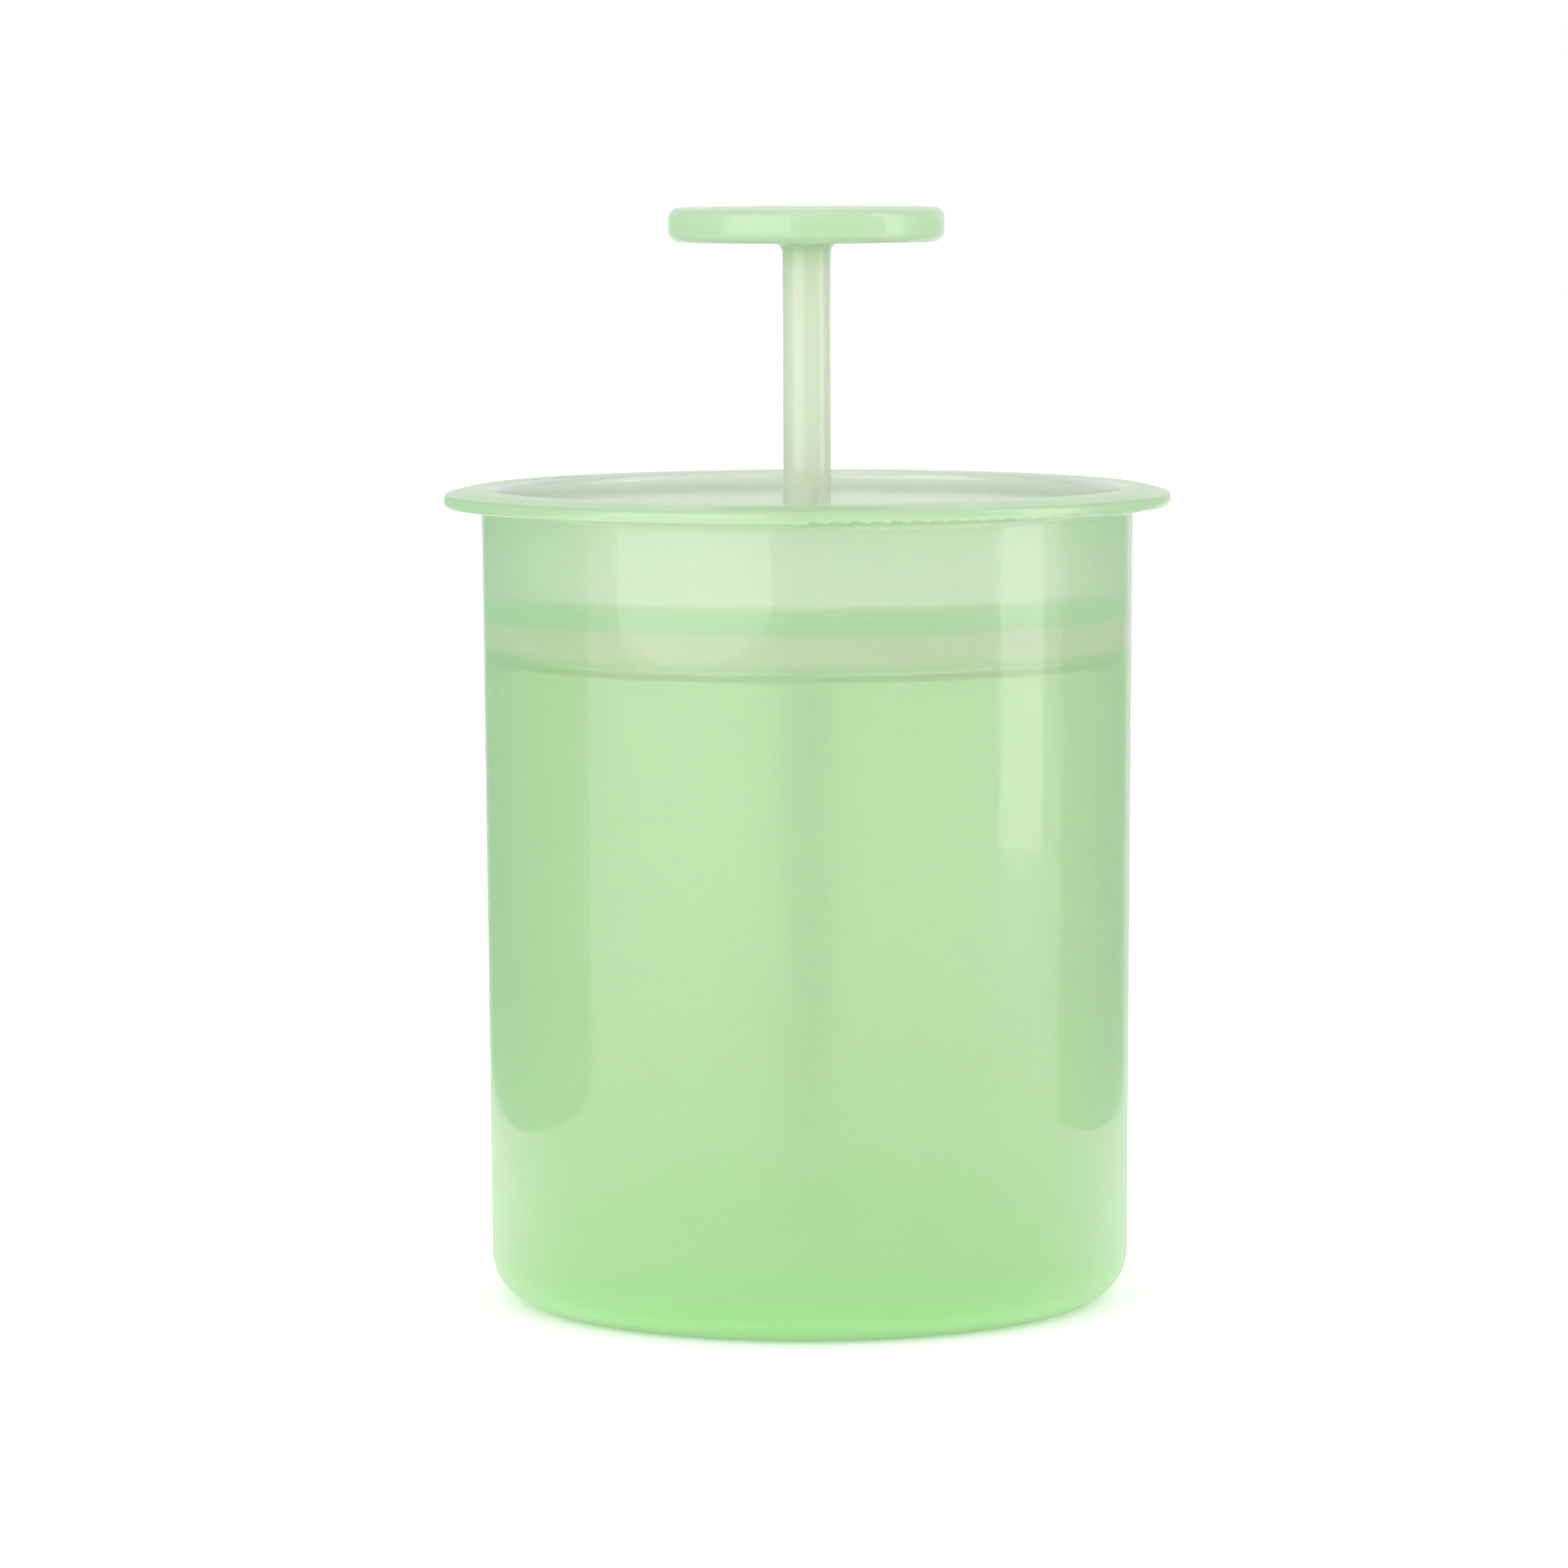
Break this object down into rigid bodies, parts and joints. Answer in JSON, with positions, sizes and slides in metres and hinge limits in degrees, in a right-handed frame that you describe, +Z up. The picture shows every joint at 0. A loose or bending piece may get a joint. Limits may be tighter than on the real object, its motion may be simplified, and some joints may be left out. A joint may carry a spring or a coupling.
{
  "type": "hand-pumped foam cup",
  "caption": "Tapered translucent cup with a flanged rim, an inner lid and a knobbed plunger rod that whips cleanser and water into foam.",
  "frame": {"origin": "centre of the cup's base, on the plane that it stands on", "axes": "+Z up along the axis of the cup, rod and knob; +X and +Y are free round that axis"},
  "size_m": [0.085, 0.085, 0.128],
  "materials": {
    "cup_plastic": "translucent satin polypropylene, pale milky green",
    "lid_plastic": "translucent satin polypropylene, pale milky green",
    "handle_plastic": "milky satin polypropylene, pale green",
    "plunger_plastic": "translucent satin polypropylene, pale milky green",
    "mesh_nylon": "fine woven nylon screen, off-white"
  },
  "bodies": {
    "cup": {"cup": "cup_plastic"},
    "lid": {"inner_lid": "lid_plastic"},
    "plunger": {"plunger_plate": "plunger_plastic", "foam_mesh": "mesh_nylon", "mesh_retainer": "plunger_plastic"},
    "handle": {"handle_rod": "handle_plastic"}
  },
  "joints": [
    {"name": "lid_lift", "type": "slide", "parent": "cup", "child": "lid", "axis": [0, 0, 1], "range_m": [0, 0.105]},
    {"name": "pump", "type": "slide", "parent": "lid", "child": "plunger", "axis": [0, 0, 1], "range_m": [0, 0.0679]},
    {"name": "handle_spin", "type": "hinge", "parent": "plunger", "child": "handle", "pos_m": [0, 0, 0.1], "axis": [0, 0, 1], "continuous": true}
  ]
}
